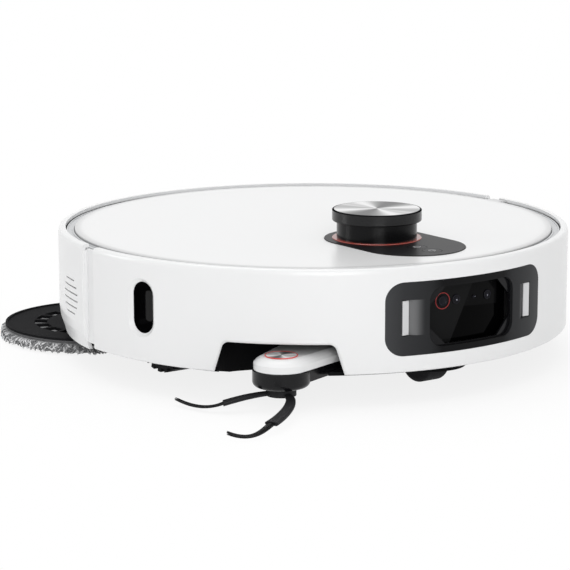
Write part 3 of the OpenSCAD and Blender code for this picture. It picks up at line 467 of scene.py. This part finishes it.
def lathe(profile, steps=64, swell=None):
    """A profile of (radius, height) turned about an upright axis, from a pole below to a pole above.

    swell(turn, radius) may return what is added to the radius, to make the rim wavy.
    """
    profile = np.asarray(profile, float)
    turn = np.linspace(0, 2 * np.pi, steps, endpoint=False)
    radius, height = profile[1:-1, :1], profile[1:-1, 1:]
    reach = radius + (swell(turn[None], radius) if swell else 0.0)
    rings = np.stack([reach * np.cos(turn), reach * np.sin(turn), height + 0 * turn], -1)
    points = np.concatenate([rings.reshape(-1, 3), [[0, 0, profile[0, 1]], [0, 0, profile[-1, 1]]]])
    index = np.arange(len(rings) * steps).reshape(-1, steps)
    onward = np.roll(index, -1, axis=1)
    walls = np.stack([index[:-1], onward[:-1], onward[1:], index[1:]], -1).reshape(-1, 4)
    low, high = np.full(steps, len(points) - 2), np.full(steps, len(points) - 1)
    caps = [np.stack([low, onward[0], index[0]], -1), np.stack([high, index[-1], onward[-1]], -1)]
    return points, [walls, *caps]


def facing_out(points, azimuth, reach, height):
    """Turns a shape's +Z axis outwards at an azimuth, and sets it at a radius and a height."""
    a = math.radians(azimuth)
    right = np.array([math.cos(a), math.sin(a), 0])
    up = np.array([0, 0, 1.0])
    out = np.array([math.sin(a), -math.cos(a), 0])
    return points[:, :1] * -right + points[:, 1:2] * up + points[:, 2:] * out + out * reach + up * height


def together(*shapes):
    """Joins several (points, faces) into one."""
    points, faces, start = [], [], 0
    for shape_points, shape_faces in shapes:
        points.append(shape_points)
        faces += [group + start for group in shape_faces]
        start += len(shape_points)
    return np.concatenate(points), faces


def bent(control, t):
    """Points of a curve with four control points: the cubic blend of its corners."""
    u = 1 - t
    weights = (u ** 3, 3 * t * u * u, 3 * t * t * u, t ** 3)
    return sum(weight[..., None] * corner for weight, corner in zip(weights, control))


def joint_place(name):
    """Where a joint's axis stands, in metres."""
    return np.array(next(j["pos_m"] for j in frame["record"]["behaviour"]["joints"] if j["name"] == name))


# ---------------------------------------------------------------- mop cloths

def microfibre(name):
    """Grey and white microfibre: each strand's own tone with painted shade at its root, mottled, with fine
    fluff.
    """
    paint = Paint(name)
    strand = paint.node("ShaderNodeAttribute", {"attribute_name": "shade"}, pick=2)
    fluff = paint.noise(2600.0, 4.0, 0.8)
    drift = paint.noise(120.0, 2.0)
    base = paint.ramp(strand * 0.7 + fluff * 0.2 + drift * 0.12, [
        (0.12, (0.08, 0.081, 0.085)), (0.4, (0.4, 0.403, 0.41)), (0.62, (0.72, 0.72, 0.73)),
        (0.95, (0.93, 0.93, 0.93))])
    return paint.finish(Base_Color=base, Roughness=(fluff - 0.5) * 0.2 + 0.9,
                        Normal=paint.bump(fluff, 0.00025, 0.8), Sheen_Weight=0.25)


STRAND_RINGS, STRAND_SIDES = 7, 5
# Rows of the fringe: height at the root and least height at the tip, in millimetres, and number of strands
FRINGE = ((6.8, 4.2, 230), (5.4, 2.8, 250), (4.0, 1.4, 260), (2.4, 0.5, 260))


def mop_cloth(name, pad, body, seed, material):
    """Round cloth: a low cushion with a wavy rim, fringed and lined with hundreds of short strands.

    The cushion is a turned profile whose radius adds two sine waves. A rim strand leaves the cushion,
    arches out and droops, and an underside strand lies level. Both bend sideways with the square of the
    way along them.
    """
    low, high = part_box(pad)
    edge, top = (high[0] - low[0]) / 2 / MM, high[2] / MM - 0.05
    profile = np.array([
        (0, 0.9), (edge * 0.5, 0.9), (edge - 4, 0.8), (edge - 1.6, 1.5), (edge - 0.3, 3.2), (edge - 0.2, 5.2),
        (edge - 1.4, 7.2), (edge - 3.4, top), (edge * 0.5, top), (0, top)]) * MM

    def swell(turn, reach):
        return (reach > 0.8 * edge * MM) * MM * (0.45 * np.sin(61 * turn) + 0.35 * np.sin(97 * turn + 1.3))

    cushion = lathe(profile, 384, swell)
    rng = np.random.default_rng(seed)
    t = np.linspace(0, 1, STRAND_RINGS)[None]

    def strands(count, root, reach, start_z, end_z, arch, thick):
        """Strands in one row, in millimetres: thickest in the middle, each with its own bend."""
        turn = (np.arange(count) + rng.uniform(-0.4, 0.4, count)) * 2 * np.pi / count
        bow = rng.uniform(-0.05, 0.05, count)[:, None] * t ** 2
        out = root[:, None] + reach[:, None] * np.sin(t * np.pi / 2)
        z = start_z + (end_z[:, None] - start_z) * t ** 1.4 + arch * np.sin(np.pi * t)
        angle = turn[:, None] + bow
        curves = np.stack([out * np.cos(angle), out * np.sin(angle), np.maximum(z, thick * 1.15)], -1) * MM
        taper = np.array([0.8, 1, 1, 1, 1, 0.9, 0.45])
        return tubes(curves, thick * MM * taper[None] * rng.uniform(0.8, 1.2, count)[:, None], STRAND_SIDES)

    rows = []
    for start_z, low_z, count in FRINGE:
        rows.append(strands(count, np.full(count, edge - 3.5), rng.uniform(3.9, 5.7, count), start_z,
                            rng.uniform(low_z, low_z + 1.6, count), 0.4, 0.52))
    for ring in np.arange(10, edge - 8, 6.5):
        count = int(ring * 1.05)
        rows.append(strands(count, np.full(count, ring), rng.uniform(7, 9, count), 0.9,
                            np.full(count, 0.75), -0.1, 0.55))
    # A strand is dark or pale as a whole, and painted shade darkens it towards its root under the plate
    shades = [np.full(len(cushion[0]), 0.2)]
    along = np.repeat(np.linspace(0, 1, STRAND_RINGS), STRAND_SIDES)
    for points, _ in rows:
        count = len(points) // len(along)
        tone = np.where(rng.random(count) < 0.45, 0.12, 0.85) + rng.uniform(-0.1, 0.1, count)
        shades.append((tone[:, None] * (0.2 + 0.8 * along)).ravel())
    points, faces = together(cushion, *rows)
    points += middle(pad) * (1, 1, 0)
    piece = keep(name, points, faces, material, body, (pad,), np.concatenate(shades))


CLOTH = microfibre("microfibre")
mop_cloth("mop_cloth_left", "mop_pad_left", "mop_left", 4, CLOTH)
mop_cloth("mop_cloth_right", "mop_pad_right", "mop_right", 9, CLOTH)


# ---------------------------------------------------------------- side brush hairs

def hair_bundle(control, width, seed, count=54):
    """Fine hairs beside one curve: each keeps its own place in a flat oval that narrows towards the tip."""
    rng = np.random.default_rng(seed)
    control = np.array(control) * MM
    t = np.linspace(0, 1, 15)[None] * rng.uniform(0.94, 1.0, count)[:, None]
    spine = bent(control, t)
    ahead = unit(np.gradient(spine, axis=1))
    side = unit(np.cross(ahead, [0, 0, 1.0]))
    spin, reach = rng.uniform(0, 2 * np.pi, count)[:, None], np.sqrt(rng.uniform(0, 1, count))[:, None]
    half_width = (width * (1 - t) + 2.6 * t + rng.normal(0, 0.3, count)[:, None] * t ** 3) * MM / 2
    half_height = (0.8 * (1 - t) + 1.1 * t) * MM
    curves = spine + (reach * np.cos(spin) * half_width)[..., None] * side
    curves[..., 2] = np.maximum(curves[..., 2] + reach * np.sin(spin) * half_height, 0.35 * MM)
    return tubes(curves, (0.2 - 0.06 * t) * MM, 4)


# Control points of the two tufts about the brush's hub, in millimetres
HAIR_CURVES = [((-35.4, 11.3, 6.1), (-44, 16, 2.2), (-48, 28, 1.6), (-49.5, 45, 4)),
               ((-39.4, -46.3, 6.1), (-52, -53.05, 3), (-64, -58, 1), (-69.4, -42, 4))]
HAIR = moulded("nylon_hair", (0.008, 0.008, 0.009), 0.34, vary=0.2, grain_size=0.0004, ior=1.25)
hair_points, hair_faces = together(*[hair_bundle(curve, 6.4, seed) for seed, curve in enumerate(HAIR_CURVES)])
hair_points += joint_place("side_brush_spin") * (1, 1, 0)
keep("side_brush_hairs", hair_points, hair_faces, HAIR, "side_brush", ("side_bristles",))


# ---------------------------------------------------------------- small trim

def key_mark(name, key, strokes):
    """Thin raised strokes on a key's top: tubes along short paths about the key's centre."""
    points, faces = together(*[
        tubes(np.array(path)[None] * MM, np.full((1, len(path)), 0.22 * MM), 6, 0.5) for path in strokes])
    x, y, _ = middle(key)
    points += np.array([x, y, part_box(key)[1][2] + 0.04 * MM])
    keep(name, points, faces, MARK, key)


def ring_path(radius, start, end, steps=24):
    """Part of a level circle, from one angle to another."""
    turn = np.radians(np.linspace(start, end, steps))
    return np.c_[radius * np.cos(turn), radius * np.sin(turn), 0 * turn]


MARK = moulded("mark_white", (0.5, 0.5, 0.51), 0.4, vary=0.02)
key_mark("power_mark", "power_key", [ring_path(2.2, -50, 230), [(0, -3, 0), (0, -1.5, 0), (0, -0.4, 0)]])
key_mark("home_mark", "home_key", [
    [(-2.6, -0.2, 0), (-1.3, -1.4, 0), (0, -2.6, 0), (1.3, -1.4, 0), (2.6, -0.2, 0)],
    [(-1.8, -0.6, 0), (-1.8, 2.2, 0), (1.8, 2.2, 0), (1.8, -0.6, 0)]])


def lens(azimuth, reach, height, radius):
    """Small lens: a raised rim, a stepped inner ring and a domed eye, turned about its own axis."""
    profile = np.array([
        (0, -0.2), (1, -0.2), (1, 0.25), (0.86, 0.35), (0.74, 0.28), (0.7, 0.05), (0.6, 0.02), (0.55, 0.12),
        (0.35, 0.3), (0.15, 0.37), (0, 0.38)]) * (radius, 1) * MM
    points, faces = lathe(profile, 40)
    return facing_out(points, azimuth, reach, height), faces


GLASS_OUT = -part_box("camera_glass")[0][1]
# Azimuth, height and radius of each lens, and of each grey bead that stands for a painted glint
LENSES = ((-3.1, 0.0622, 3.1), (5.9, 0.0622, 3.1), (1.8, 0.0623, 1.1), (-6.6, 0.0622, 3.4))
GLINTS = ((-3.0, 0.0618, 0.55), (5.8, 0.0618, 0.5), (2.1, 0.0624, 0.3))
lens_points, lens_faces = together(*[lens(az, GLASS_OUT + 0.4 * MM, z, r) for az, z, r in LENSES])
LENS = moulded("lens_black", (0.007, 0.007, 0.011), 0.1, vary=0.1, ior=1.2)
keep("camera_lens_rims", lens_points, lens_faces, LENS, "chassis")


def bead(azimuth, reach, height, radius):
    """Tiny domed bead that stands for a painted glint on a lens, turned about its own axis."""
    bow = np.radians([-90, -40, 0, 25, 50, 75, 90])
    points, faces = lathe(np.c_[np.cos(bow), np.sin(bow) * 0.6] * radius * MM, 12)
    return facing_out(points, azimuth, reach, height), faces


bead_points, bead_faces = together(*[bead(az, GLASS_OUT + 0.8 * MM, z, r) for az, z, r in GLINTS])
# Painted glints: small grey beads stand in for highlights on the lenses
PAINTED_GLINT = moulded("lens_glint", (0.25, 0.25, 0.3), 0.3, vary=0.05)
keep("painted_lens_glints", bead_points, bead_faces, PAINTED_GLINT, "chassis")


def hoop(radius, thick, steps=72, sides=8):
    """Round ring: its section is a circle of radius thick, carried round a circle of the given radius."""
    turn = np.linspace(0, 2 * np.pi, steps, endpoint=False)[:, None]
    section = np.linspace(0, 2 * np.pi, sides, endpoint=False)[None]
    reach = radius + thick * np.cos(section)
    points = np.stack([reach * np.cos(turn), reach * np.sin(turn), thick * np.sin(section) + 0 * turn], -1)
    index = np.arange(steps * sides).reshape(steps, sides)
    ahead, beside = np.roll(index, -1, axis=0), np.roll(index, -1, axis=1)
    faces = np.stack([index, ahead, np.roll(ahead, -1, axis=1), beside], -1).reshape(-1, 4)
    return points.reshape(-1, 3), [faces]


badge_low, badge_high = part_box("side_arm_badge")
RING_RED = moulded("badge_red", (0.75, 0.07, 0.06), 0.35, vary=0.05, ior=1.3)
hoop_points, hoop_faces = hoop((badge_high[0] - badge_low[0]) / 2, 0.32 * MM)
hoop_points += np.array([*BADGE, badge_high[2] - 0.1 * MM])
keep("badge_ring", hoop_points, hoop_faces, RING_RED, "side_arm")


def screw(x, y, head=2.9):
    """Pan-head screw seen from below: a shallow dome with a round recess, its axis upright."""
    profile = np.array([
        (0, 0.35), (0.36, 0.3), (0.42, 0.0), (0.8, 0.12), (1, 0.5), (1, 1.2), (0.5, 1.4), (0, 1.4)])
    profile = profile * (head, 1) * MM
    points, faces = lathe(profile, 28)
    return points + np.array([x * MM, y * MM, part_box("base_plate")[0][2] - 0.9 * MM]), faces


SCREWS = ((45, -108), (-40, -104), (70, -8), (-70, -8), (0, 34), (0, 120), (110, -78))
screw_points, screw_faces = together(*[screw(x, y) for x, y in SCREWS])
keep("case_screws", screw_points, screw_faces, FINISHES["steel"], "chassis")


# ---------------------------------------------------------------- camera and stage

EYE = Vector((-0.9398, -1.2935, 0.3654))
LOOK = Vector((0.5666, 0.7999, -0.1977))
ROLL = -0.0011
camera = bpy.data.objects.new("camera", bpy.data.cameras.new("camera"))
camera.data.lens = 148.47
camera.data.sensor_width = 36.0
camera.data.clip_end = 50
camera.matrix_world = Matrix.Translation(EYE) @ (
    LOOK.to_track_quat("-Z", "Y").to_matrix().to_4x4() @ Matrix.Rotation(ROLL, 4, "Z"))
bpy.context.collection.objects.link(camera)
bpy.context.scene.camera = camera
bpy.context.scene.view_settings.view_transform = "Standard"


def seen_directly(tree):
    """1 where the camera looks straight, in a mirror or through glass, 0 where a surface gathers light."""
    path = tree.nodes.new("ShaderNodeLightPath")
    most = path.outputs["Is Camera Ray"]
    for name in ("Is Glossy Ray", "Is Transmission Ray"):
        larger = tree.nodes.new("ShaderNodeMath")
        larger.operation = "MAXIMUM"
        tree.links.new(most, larger.inputs[0])
        tree.links.new(path.outputs[name], larger.inputs[1])
        most = larger.outputs[0]
    return most


def white_world(light):
    """A world that is white where it is seen, and lights the object with a plain level."""
    world = bpy.data.worlds.new("studio")
    world.use_nodes = True
    tree = world.node_tree
    tree.nodes.clear()
    glow, lit = tree.nodes.new("ShaderNodeBackground"), tree.nodes.new("ShaderNodeBackground")
    glow.inputs[0].default_value, glow.inputs[1].default_value = (1, 1, 1, 1), 1.0
    lit.inputs[0].default_value, lit.inputs[1].default_value = (1, 1, 1, 1), light
    mix, out = tree.nodes.new("ShaderNodeMixShader"), tree.nodes.new("ShaderNodeOutputWorld")
    tree.links.new(seen_directly(tree), mix.inputs[0])
    tree.links.new(lit.outputs[0], mix.inputs[1])
    tree.links.new(glow.outputs[0], mix.inputs[2])
    tree.links.new(mix.outputs[0], out.inputs[0])
    bpy.context.scene.world = world


white_world(0.42)


def softbox(name, place, size, watts, target=(0, 0, 0.05)):
    """A square area lamp aimed at a point."""
    lamp = bpy.data.objects.new(name, bpy.data.lights.new(name, "AREA"))
    lamp.data.energy = watts
    lamp.data.size = size
    lamp.location = place
    lamp.rotation_euler = (Vector(target) - Vector(place)).to_track_quat("-Z", "Y").to_euler()
    bpy.context.collection.objects.link(lamp)


softbox("key_light", (-1.2, -2.1, 0.85), 1.4, 19.5)
softbox("top_light", (0.1, 0.4, 2.2), 2.0, 26)
softbox("low_light", (-1.0, -2.0, 0.3), 0.6, 3)
softbox("left_light", (-1.1, 0.8, 0.4), 0.4, 1.8)


def floor_material():
    """White floor that keeps a soft shadow near the object and fades to plain white further out."""
    shadow, inner, outer = 0.16, 0.15, 0.3
    paint = Paint("floor_white")
    x, y, _ = paint.xyz()
    near = paint.smooth(length(x, y), inner, outer, shadow, 0.0)
    lit = paint.node("ShaderNodeBsdfDiffuse", None, {"Color": (0.92, 0.92, 0.92, 1)})
    glow = paint.node("ShaderNodeEmission", None, {"Color": (1, 1, 1, 1), "Strength": 1.0})
    seen = Value(paint, seen_directly(paint.tree))
    return paint.end(paint.node("ShaderNodeMixShader", None, {0: seen * (1 - near), 1: lit, 2: glow}))


def disc_floor(radius=6.0, corners=64):
    """A flat round floor just under the object, one ring of points around the origin."""
    turn = np.linspace(0, 2 * np.pi, corners, endpoint=False)
    points = np.c_[radius * np.cos(turn), radius * np.sin(turn), np.full(corners, -0.2 * MM)]
    mesh = bpy.data.meshes.new("floor")
    mesh.from_pydata(points.tolist(), [], [list(range(corners))])
    floor = bpy.data.objects.new("floor", mesh)
    floor.data.materials.append(floor_material())
    bpy.context.collection.objects.link(floor)


disc_floor()
